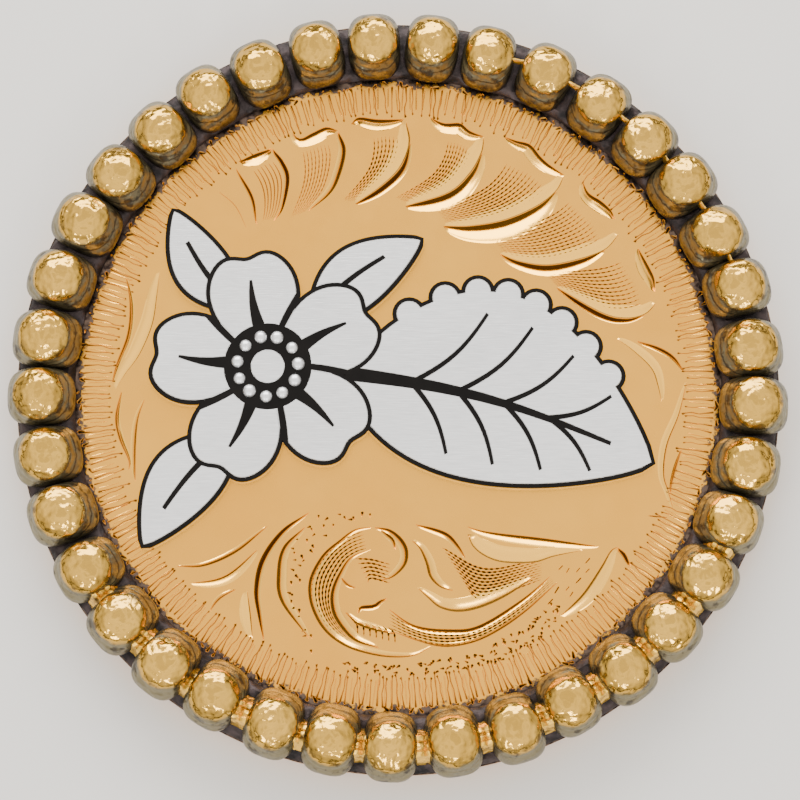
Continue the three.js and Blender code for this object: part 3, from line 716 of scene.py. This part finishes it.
# From the crown down: how far out at the sides that face the next bead, and how high. The crown is
# part of a ball, hammered a little flat, and the flank under it has a narrow waist.
bead_profile = [(0.0, 3.9), (0.14, 3.894), (0.28, 3.878), (0.42, 3.85), (0.56, 3.812), (0.7, 3.758),
                (0.83, 3.693), (0.95, 3.62), (1.06, 3.538), (1.13, 3.474), (1.18, 3.405), (1.215, 3.33),
                (1.235, 3.24), (1.24, 3.15), (1.238, 3.06), (1.265, 2.98), (1.295, 2.8), (1.312, 2.6),
                (1.32, 2.35), (1.31, 2.1), (1.28, 1.9)]
widest = max(reach for reach, height in bead_profile)
crown_spread, crown_roundness = 1.02, 2.0
foot_spread, foot_roundness = bead_depth / 2 / widest, 3.0  # the foot is a longer and squarer oval
inner_foot = 1.05  # it is this much longer towards the face
flare_start, flare_end = 3.4, 2.5  # between these heights the flanks spread to the foot


def bead_mesh(name, sides):
    """One bead at the origin of a ring's point, its length across the rim along X."""
    points, faces = [(0, 0, bead_profile[0][1])], []
    for reach, height in bead_profile[1:]:
        share = min(1, max(0, (flare_start - height) / (flare_start - flare_end)))
        spread = crown_spread + (foot_spread - crown_spread) * share
        power = 2 / (crown_roundness + (foot_roundness - crown_roundness) * share)
        for k in range(sides):
            c, s = math.cos(2 * math.pi * k / sides), math.sin(2 * math.pi * k / sides)
            across = spread * (1 + (inner_foot - 1) * share) if c < 0 else spread
            points.append((reach * across * math.copysign(abs(c) ** power, c),
                           reach * math.copysign(abs(s) ** power, s), height))
    last = len(bead_profile) - 2
    for k in range(sides):
        after = (k + 1) % sides
        faces.append((0, 1 + k, 1 + after))
        for ring in range(last):
            a, b = 1 + ring * sides, 1 + (ring + 1) * sides
            faces.append((a + k, b + k, b + after, a + after))
    faces.append(tuple(1 + last * sides + k for k in range(sides))[::-1])
    return mesh_piece(name, [(x, y, z - rim_top) for x, y, z in points], faces)


line_pitch = 0.42  # from one dark line on a flank to the next
larger = {"operation": "MAXIMUM"}


def worn_gilt(name, edge, slant, crown, flank, hollow):
    """Gilt brass burnished by wear. What stands out is an olive-gold mirror, uneven from small
    knocks. Below the shoulder the gilt is dull and ringed with dark lines, stronger towards the
    face, and below the height edge, which rises by slant towards the top of the rim, it is under
    brown-black patina."""
    material, tree, shader = new_material(name)
    place = add_node(tree, "ShaderNodeTexCoord").outputs["Object"]
    spot = add_node(tree, "ShaderNodeSeparateXYZ", Vector=place)
    height = spot.outputs["Z"]
    grain = add_node(tree, "ShaderNodeTexNoise", Vector=place, Scale=1.5 / mm, Detail=4.0, Roughness=0.6)
    knocks = add_node(tree, "ShaderNodeTexNoise", Vector=place, Scale=1.0 / mm, Detail=2.0)
    lumps = add_node(tree, "ShaderNodeTexNoise", Vector=place, Scale=0.4 / mm, Detail=2.0)
    uneven = add_node(tree, "ShaderNodeMath", minus, _0=grain, _1=0.5)
    limit = add_node(tree, "ShaderNodeMath", times_plus, _0=spot.outputs["Y"], _1=slant / ring_radius,
                     _2=edge * mm)
    wavering = add_node(tree, "ShaderNodeMath", times_plus, _0=uneven, _1=1.6 * mm, _2=height)
    below = add_node(tree, "ShaderNodeMath", minus, _0=limit, _1=wavering)
    grime = add_node(tree, "ShaderNodeMapRange", Value=below, From_Min=-0.2 * mm, From_Max=0.35 * mm)
    waved = add_node(tree, "ShaderNodeMath", times_plus, _0=uneven, _1=0.35 * mm, _2=height)
    shoulder = add_node(tree, "ShaderNodeMapRange", Value=waved, From_Min=3.46 * mm, From_Max=3.32 * mm)
    swaying = add_node(tree, "ShaderNodeMath", times_plus, _0=uneven, _1=0.4 * mm, _2=height)
    turns = add_node(tree, "ShaderNodeMath", times, _0=swaying, _1=2 * math.pi / (line_pitch * mm))
    rings = add_node(tree, "ShaderNodeMath", cosine, _0=turns)
    lines = add_node(tree, "ShaderNodeMapRange", Value=rings, From_Min=0.6, From_Max=1.0)
    level = add_node(tree, "ShaderNodeVectorMath", times, _0=place, _1=(1, 1, 0))
    out = add_node(tree, "ShaderNodeVectorMath", {"operation": "LENGTH"}, _0=level).outputs["Value"]
    inward = add_node(tree, "ShaderNodeMapRange", Value=out, From_Min=(ring_radius + 0.6) * mm,
                      From_Max=(ring_radius - 0.6) * mm, To_Min=0.12, To_Max=1.0)
    under = add_node(tree, "ShaderNodeMath", times, _0=lines, _1=shoulder)
    ringed = add_node(tree, "ShaderNodeMath", times, _0=under, _1=inward)
    # Dark specks from just under each crown's edge downwards: partly dirt, and partly painted dark
    # reflection that breaks up the dark ring round the crown.
    speckled = add_node(tree, "ShaderNodeMapRange", Value=grain, From_Min=0.54, From_Max=0.64)
    low = add_node(tree, "ShaderNodeMapRange", Value=height, From_Min=3.7 * mm, From_Max=3.45 * mm)
    specks_with_painted_dark = add_node(tree, "ShaderNodeMath", times, _0=speckled, _1=low)
    marks = add_node(tree, "ShaderNodeMath", larger, _0=ringed, _1=specks_with_painted_dark)
    thin = add_node(tree, "ShaderNodeMath", times, _0=marks, _1=0.8)
    patina_and_painted_dark = add_node(tree, "ShaderNodeMath", larger, _0=grime, _1=thin)
    warm = add_node(tree, "ShaderNodeMix", in_colour, _0=lumps, _6=linear(crown), _7=linear("#d8aa4c"))
    dull = add_node(tree, "ShaderNodeMix", in_colour, _0=shoulder, _6=warm.outputs[2], _7=linear(flank))
    colour = add_node(tree, "ShaderNodeMix", in_colour, _0=patina_and_painted_dark, _6=dull.outputs[2], _7=linear(hollow))
    covered = add_node(tree, "ShaderNodeMath", larger, _0=shoulder, _1=patina_and_painted_dark)
    metal = add_node(tree, "ShaderNodeMapRange", Value=covered, To_Min=1.0, To_Max=0.88)
    rough = add_node(tree, "ShaderNodeMapRange", Value=covered, To_Min=0.09, To_Max=0.34)
    soft = add_node(tree, "ShaderNodeBump", Height=knocks, Strength=0.75, Distance=0.4 * mm)
    bump = add_node(tree, "ShaderNodeBump", Height=grain, Strength=0.5, Distance=0.08 * mm, Normal=soft)
    feed(tree, shader, Base_Color=colour.outputs[2], Metallic=metal, Roughness=rough, Normal=bump)
    return material


bead_gilt = worn_gilt("burnished_gilt_brass", 2.45, 0.3, "#c4983e", "#82785c", "#332c28")
# The necks and crests have the beads' own gilt, painted much lighter: painted light against the shade
# between the beads.
neck_gilt_painted_lighter = worn_gilt("neck_gilt_brass_painted_lighter", 1.9, 0.0, "#ffce58", "#f8c44c", "#3a2f30")

# Silver solder with a thick purple-grey patina, matt and lumpy.
solder_grey, tree, shader = new_material("patinated_solder")
place = add_node(tree, "ShaderNodeTexCoord").outputs["Object"]
lumps = add_node(tree, "ShaderNodeTexNoise", Vector=place, Scale=1.5 / mm, Detail=4.0)
crust = add_node(tree, "ShaderNodeMapRange", Value=lumps, From_Min=0.35, From_Max=0.65)
colour = add_node(tree, "ShaderNodeMix", in_colour, _0=crust, _6=linear("#171111"), _7=linear("#453938"))
bump = add_node(tree, "ShaderNodeBump", Height=lumps, Strength=0.8, Distance=0.15 * mm)
feed(tree, shader, Base_Color=colour.outputs[2], Metallic=0.6, Roughness=0.5, Normal=bump)

ring = ring_tree("bead_wire")
ring_values = {"Count": bead_count, "Every": 1, "First": 0, "Copies": bead_count, "Radius": ring_radius * mm,
               "Height": rim_top * mm, "Size Spread": 0.015, "Slip": 0.02, "Turn": 0.05, "Tilt": 0.06,
               "Seed": 3, "Material": bead_gilt}
beads = run_tree(bead_mesh("bead", 40), ring, {
    **ring_values, "First Angle": first_bead, "Side Swell": side_swell})


# Between the lower beads the wire's neck shows, a fluted saddle. At the upper right only a thin
# crest of wire is left. A section is how far across the rim and how high, a station how far along
# the rim and how much it is raised.
neck_section = [(-0.8, -1.0), (-0.6, -0.35), (-0.45, -0.06), (-0.26, 0.0), (-0.16, -0.12), (0.0, -0.02),
                (0.16, -0.12), (0.26, 0.0), (0.45, -0.06), (0.6, -0.35), (0.8, -1.0)]
neck_stations = [(-0.62, 0.12), (-0.3, 0.05), (-0.12, 0.0), (0.0, -0.12), (0.12, 0.0), (0.3, 0.05),
                 (0.62, 0.12)]
crest_section = [(-0.12, -0.4), (-0.06, -0.06), (0.0, 0.0), (0.06, -0.06), (0.12, -0.4)]
crest_stations = [(-0.66, 0.02), (-0.35, -0.05), (0.0, -0.1), (0.35, -0.05), (0.66, 0.02)]


def saddle_mesh(name, section, stations):
    """A short length of wire that is lowest in its middle, at the origin of a ring's point."""
    points = [(x, along, z + raised) for along, raised in stations for x, z in section]
    wide, faces = len(section), []
    for i in range(len(stations) - 1):
        for k in range(wide):
            a, b = i * wide + k, i * wide + (k + 1) % wide
            faces.append((a, b, b + wide, a + wide))
    faces.append(tuple(range(wide))[::-1])
    faces.append(tuple((len(stations) - 1) * wide + k for k in range(wide)))
    return mesh_piece(name, points, faces)


between = {**ring_values, "First Angle": first_bead + math.pi / bead_count, "Material": neck_gilt_painted_lighter}
necks = run_tree(saddle_mesh("neck", neck_section, neck_stations), ring, {
    **between, "First": 22, "Copies": 13, "Height": 3.1 * mm, "Size Spread": 0.06, "Seed": 21})
crests = run_tree(saddle_mesh("wire_crest", crest_section, crest_stations), ring, {
    **between, "First": 2, "Copies": 6, "Height": 3.4 * mm, "Turn": 0.15, "Size Spread": 0.1, "Seed": 25})


lumps_per_mm, lump_sideways, lump_height = 1.6, 0.09, 0.12


def solder_ring(name, around=444):
    """The low lumpy fillet of solder that the beads sit in."""
    inner, outer = ring_radius - bead_depth / 2 + 0.1, plate_radius - 0.06
    profile = [(inner, plate_top), (inner + 0.05, 1.8), (inner + 0.3, 2.0),
               (ring_radius - 0.5, solder_top), (ring_radius + 0.5, solder_top),
               (outer - 0.25, 1.95), (outer - 0.04, 1.78), (outer, plate_top)]
    points, faces = [], []
    for k in range(around):
        a = 2 * math.pi * k / around
        for i, (radius, height) in enumerate(profile):
            lump = noise.noise(Vector((radius * math.cos(a), radius * math.sin(a), 7.0)) * lumps_per_mm)
            inside = 0 < i < len(profile) - 1
            r = radius + (lump_sideways * lump if inside else 0)
            z = height + (lump_height * lump if inside else 0)
            points.append((r * math.cos(a), r * math.sin(a), max(z, plate_top)))
    wide = len(profile)
    for k in range(around):
        for i in range(wide):
            a, b = k * wide + i, k * wide + (i + 1) % wide
            c, d = (k + 1) % around * wide + (i + 1) % wide, (k + 1) % around * wide + i
            faces.append((a, b, c, d))
    return mesh_piece(name, points, faces, [solder_grey])


bead_rim = solder_ring("bead_rim_and_solder")
combine(bead_rim, [necks, crests, beads], "UNION")
shade_by_angle(bead_rim, math.radians(40))
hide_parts("bead_rim")
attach(bead_rim, "root")


# Silver overlay: a wild rose with leaves, sawn from nickel silver sheet and soldered on the face.
# Its edges, middle ribs and veins are cut down for enamel; the raised fields are brushed flat.
overlay_margin = 3.24
overlay_length = 2 * (face_radius - overlay_margin)
overlay_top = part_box("silver_overlay")[1].z / mm
enamel_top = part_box("enamel_fill")[1].z / mm
overlay_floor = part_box("enamel_fill")[0].z / mm
outline_width, vein_width, rib_width, flame_width = 0.2, 0.2, 0.7, 0.66
edge_chamfer = 0.035
flower_centre = complex(-0.262, 0.045) * overlay_length
petal_count, petal_reach = 5, 0.243 * overlay_length
eye_radius, pistil_radius = 0.088 * overlay_length, 0.034 * overlay_length
first_petal = math.pi / 2 + 0.2
leaves = [
    {"base": -0.10 + 0.03j, "tip": 0.505 - 0.150j, "left": 0.345, "right": 0.265, "bend": 0.05, "veins": 4},
    {"base": -0.34 - 0.10j, "tip": -0.505 - 0.315j, "left": 0.24, "right": 0.25, "bend": -0.06, "veins": 0},
    {"base": -0.33 + 0.17j, "tip": -0.455 + 0.365j, "left": 0.24, "right": 0.22, "bend": 0.06, "veins": 0},
    {"base": -0.17 + 0.15j, "tip": 0.045 + 0.305j, "left": 0.21, "right": 0.25, "bend": 0.07, "veins": 0},
]
knob_count, knob_radius = 8, 0.026 * overlay_length


def grown(outline, distance):
    """A closed counter-clockwise outline of complex points, pushed outwards."""
    count = len(outline)
    result = []
    for i, point in enumerate(outline):
        along = outline[(i + 1) % count] - outline[i - 1]
        result.append(point - 1j * along / abs(along) * distance)
    return result


def prism(outline, low, high, chamfer=0.0):
    """A plate between two heights; its top edge is chamfered, or with a negative chamfer flared."""
    levels = [(low, 0), (high - abs(chamfer), 0), (high, chamfer)] if chamfer else [(low, 0), (high, 0)]
    points = [(p.real, p.imag, z) for z, inset in levels for p in grown(outline, -inset)]
    count, faces = len(outline), []
    for ring in range(len(levels) - 1):
        for k in range(count):
            a, b = ring * count + k, ring * count + (k + 1) % count
            faces.append((a, b, b + count, a + count))
    faces.append(tuple(range(count))[::-1])
    faces.append(tuple((len(levels) - 1) * count + k for k in range(count)))
    return mesh_piece("plate", points, faces)


def disc(centre, radius, sides=40):
    """The outline of a round plate."""
    angles = np.arange(sides) * 2 * math.pi / sides
    return [centre + radius * complex(math.cos(a), math.sin(a)) for a in angles]


def petal_outline(index, steps=36):
    """The outline of a petal, a full fan from the flower's centre with a shallow notch in its end."""
    axis = first_petal + index * 2 * math.pi / petal_count
    points = [flower_centre]
    for share in np.linspace(-1, 1, steps + 1):
        reach = petal_reach * (math.cos(share * 1.4) ** 0.36 - 0.09 * math.exp(-(share / 0.22) ** 2))
        angle = axis + share * math.pi / petal_count
        points.append(flower_centre + reach * complex(math.cos(angle), math.sin(angle)))
    return points


def rib_point(leaf, t):
    """A point on a leaf's bent middle rib, from its base (0) to its tip (1)."""
    along = (leaf["tip"] - leaf["base"]) * overlay_length
    return leaf["base"] * overlay_length + along * t + 1j * along * leaf["bend"] * math.sin(math.pi * t)


def leaf_edge(leaf, t, side):
    """A point on a leaf's edge, to the left of its rib (side 1) or to the right (side -1)."""
    along = (leaf["tip"] - leaf["base"]) * overlay_length
    belly = leaf["left"] if side > 0 else leaf["right"]
    return rib_point(leaf, t) + 1j * along * side * belly * max(0, math.sin(math.pi * t ** 0.8)) ** 0.8


def leaf_outline(leaf, steps=36):
    """The outline of a leaf, up its right-hand edge and down its left-hand one."""
    t = np.linspace(0, 1, steps + 1)
    return [leaf_edge(leaf, s, -1) for s in t] + [leaf_edge(leaf, s, 1) for s in t[-2:0:-1]]


def tapered_line(start, end, start_width, end_width, bow, steps=12):
    """The outline of a line between two points that bows sideways by a share of its length."""
    along = end - start
    unit = 1j * along / abs(along)
    t = np.linspace(0, 1, steps + 1)
    middle = [start + along * s + 1j * along * bow * math.sin(math.pi * s) for s in t]
    half = [(start_width + (end_width - start_width) * s) / 2 for s in t]
    return [m - unit * h for m, h in zip(middle, half)] + [m + unit * h for m, h in zip(middle, half)][::-1]


def leaf_lines(shrink):
    """The enamelled ribs and veins of the leaves, narrower by shrink on each side."""
    lines = []
    for leaf in leaves:
        reach = 0.86 if leaf["veins"] else 0.7
        width = rib_width if leaf["veins"] else vein_width * 1.6
        lines.append((rib_point(leaf, 0), rib_point(leaf, reach), width, vein_width, leaf["bend"] * reach))
        for i in range(leaf["veins"]):
            start = 0.2 + 0.15 * i
            for side in (1, -1):
                tip = leaf_edge(leaf, start + 0.17, side) * 0.78 + rib_point(leaf, start + 0.17) * 0.22
                lines.append((rib_point(leaf, start), tip, vein_width * 1.3, vein_width * 0.8, side * -0.08))
    return [tapered_line(a, b, wide - 2 * shrink, narrow - 2 * shrink, bow)
            for a, b, wide, narrow, bow in lines]


def petal_lines(shrink):
    """The line along each petal's joint with the next, and the dark flame up its middle."""
    lines = []
    for i in range(petal_count):
        angles = [first_petal + (i + turn) * 2 * math.pi / petal_count for turn in (0.5, 0)]
        joint, middle = [complex(math.cos(a), math.sin(a)) * petal_reach for a in angles]
        lines.append((0, joint * 0.75, vein_width, outline_width * 2, 0.05))
        lines.append((middle * 0.3, middle * 0.74, flame_width, vein_width * 0.6, 0.04))
    return [tapered_line(flower_centre + a, flower_centre + b, wide - 2 * shrink, narrow - 2 * shrink, bow)
            for a, b, wide, narrow, bow in lines]


def flower_plates(low, high, grow, chamfer):
    """The petals and the flower's round eye as plates, grown by a distance all round."""
    outlines = [petal_outline(i) for i in range(petal_count)] + [disc(flower_centre, eye_radius)]
    return [prism(grown(outline, grow), low, high, chamfer) for outline in outlines]


def foliage_plates(low, high, grow, chamfer):
    """The leaves and the beads along the large one's edge as plates, grown in the same way."""
    knobs = [leaf_edge(leaves[0], 0.13 + 0.095 * i, 1) for i in range(knob_count)]
    outlines = [leaf_outline(leaf) for leaf in leaves] + [disc(knob, knob_radius, 24) for knob in knobs]
    return [prism(grown(outline, grow), low, high, chamfer) for outline in outlines]


def silver_fields(low, high, grow, chamfer):
    """The raised silver between the enamelled lines, grown by a distance all round."""
    def cut_lines(piece, outlines):
        tools = [prism(outline, low - 0.1, high + 0.01, -chamfer) for outline in outlines]
        combine(piece, tools, "DIFFERENCE")

    blades, *others = foliage_plates(low, high, grow, chamfer)
    combine(blades, others, "UNION")
    cut_lines(blades, leaf_lines(grow))
    combine(blades, flower_plates(low - 0.1, high + 0.01, outline_width - grow, -chamfer), "DIFFERENCE")
    petals, *others = flower_plates(low, high, grow, chamfer)
    combine(petals, others, "UNION")
    cut_lines(petals, petal_lines(grow))
    combine(petals, [blades], "UNION")
    cut_lines(petals, [disc(flower_centre, eye_radius - grow)])
    return combine(petals, [prism(disc(flower_centre, pistil_radius + grow), low, high, chamfer)], "UNION")


# Nickel silver brushed with fine abrasive in straight strokes across the face: soft white metal
# with short hair lines, drawn coarser than real ones so that they show.
nickel, tree, shader = new_material("brushed_nickel_silver")
place = add_node(tree, "ShaderNodeTexCoord").outputs["Object"]
drawn_out = add_node(tree, "ShaderNodeMapping", Vector=place, Scale=(0.9 / mm, 16 / mm, 0.9 / mm))
hairs = add_node(tree, "ShaderNodeTexNoise", Vector=drawn_out, Scale=1.0, Detail=3.0)
patches = add_node(tree, "ShaderNodeTexNoise", Vector=place, Scale=0.2 / mm, Detail=2.0)
mixed = add_node(tree, "ShaderNodeMath", times_plus, _0=patches, _1=0.3, _2=hairs)
light = add_node(tree, "ShaderNodeMapRange", Value=mixed, From_Min=0.35, From_Max=0.95)
colour = add_node(tree, "ShaderNodeMix", in_colour, _0=light, _6=linear("#dededf"), _7=linear("#f8f8f8"))
bump = add_node(tree, "ShaderNodeBump", Height=hairs, Strength=0.6, Distance=0.02 * mm)
feed(tree, shader, Base_Color=colour.outputs[2], Metallic=1.0, Roughness=0.36, Normal=bump)

overlay = silver_fields(plate_top, overlay_top, 0, edge_chamfer)
combine(overlay, flower_plates(plate_top, overlay_floor, outline_width, 0)
        + foliage_plates(plate_top, overlay_floor, outline_width, 0), "UNION")


def granule_mesh(name, radius, sides=16, rows=5):
    """A small round grain, a little flattened, that closes with a flat base."""
    points, faces = [], []
    for i in range(rows):
        tilt = math.pi / 2 * i / rows
        points += [(radius * math.cos(tilt) * math.cos(a), radius * math.cos(tilt) * math.sin(a),
                    radius * 0.8 * math.sin(tilt)) for a in np.arange(sides) * 2 * math.pi / sides]
    points.append((0, 0, radius * 0.8))
    for k in range(sides):
        after = (k + 1) % sides
        for i in range(rows - 1):
            faces.append((i * sides + k, i * sides + after, (i + 1) * sides + after, (i + 1) * sides + k))
        faces.append(((rows - 1) * sides + k, (rows - 1) * sides + after, rows * sides))
    faces.append(tuple(range(sides))[::-1])
    return mesh_piece(name, points, faces)


stamen_count, stamen_radius = 11, 0.0135 * overlay_length
stamens = run_tree(granule_mesh("stamen", stamen_radius), ring_tree("stamen_ring"), {
    "Count": stamen_count, "Every": 1, "First": 0, "Copies": stamen_count, "First Angle": 0.1,
    "Radius": eye_radius * 0.7 * mm, "Height": (enamel_top - 0.06) * mm, "Size Spread": 0.06,
    "Slip": 0.05, "Turn": 0.0, "Seed": 8, "Material": nickel})
for vertex in stamens.data.vertices:
    vertex.co.x += flower_centre.real * mm
    vertex.co.y += flower_centre.imag * mm
combine(overlay, [stamens], "UNION")


def name_and_clad(piece, name, material):
    """Gives a finished piece its name and its only material."""
    piece.name = name
    piece.data.materials.clear()
    piece.data.materials.append(material)


name_and_clad(overlay, "silver_rose", nickel)
shade_by_angle(overlay, math.radians(30))
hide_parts("silver_overlay")
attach(overlay, "root")


# Enamel: black glass melted into the cut-down outlines and veins, then stoned a little under the
# silver and fired again, so it is glossy and a little uneven.
enamel_gap = 0.006
enamel_flare = 0.03
black_enamel, tree, shader = new_material("black_vitreous_enamel")
place = add_node(tree, "ShaderNodeTexCoord").outputs["Object"]
ripples = add_node(tree, "ShaderNodeTexNoise", Vector=place, Scale=0.7 / mm, Detail=3.0)
colour = add_node(tree, "ShaderNodeMix", in_colour, _0=ripples, _6=linear("#060505"), _7=linear("#171412"))
bump = add_node(tree, "ShaderNodeBump", Height=ripples, Strength=0.3, Distance=0.03 * mm)
feed(tree, shader, Base_Color=colour.outputs[2], Roughness=0.3, IOR=1.5, Specular_IOR_Level=0.1, Normal=bump)

enamel, *others = (flower_plates(overlay_floor, enamel_top, outline_width, enamel_flare)
                   + foliage_plates(overlay_floor, enamel_top, outline_width, enamel_flare))
combine(enamel, others, "UNION")
combine(enamel, [silver_fields(plate_top, overlay_top, enamel_gap, 0)], "DIFFERENCE")
name_and_clad(enamel, "enamel", black_enamel)
shade_by_angle(enamel, math.radians(30))
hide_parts("enamel_fill")
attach(enamel, "root")
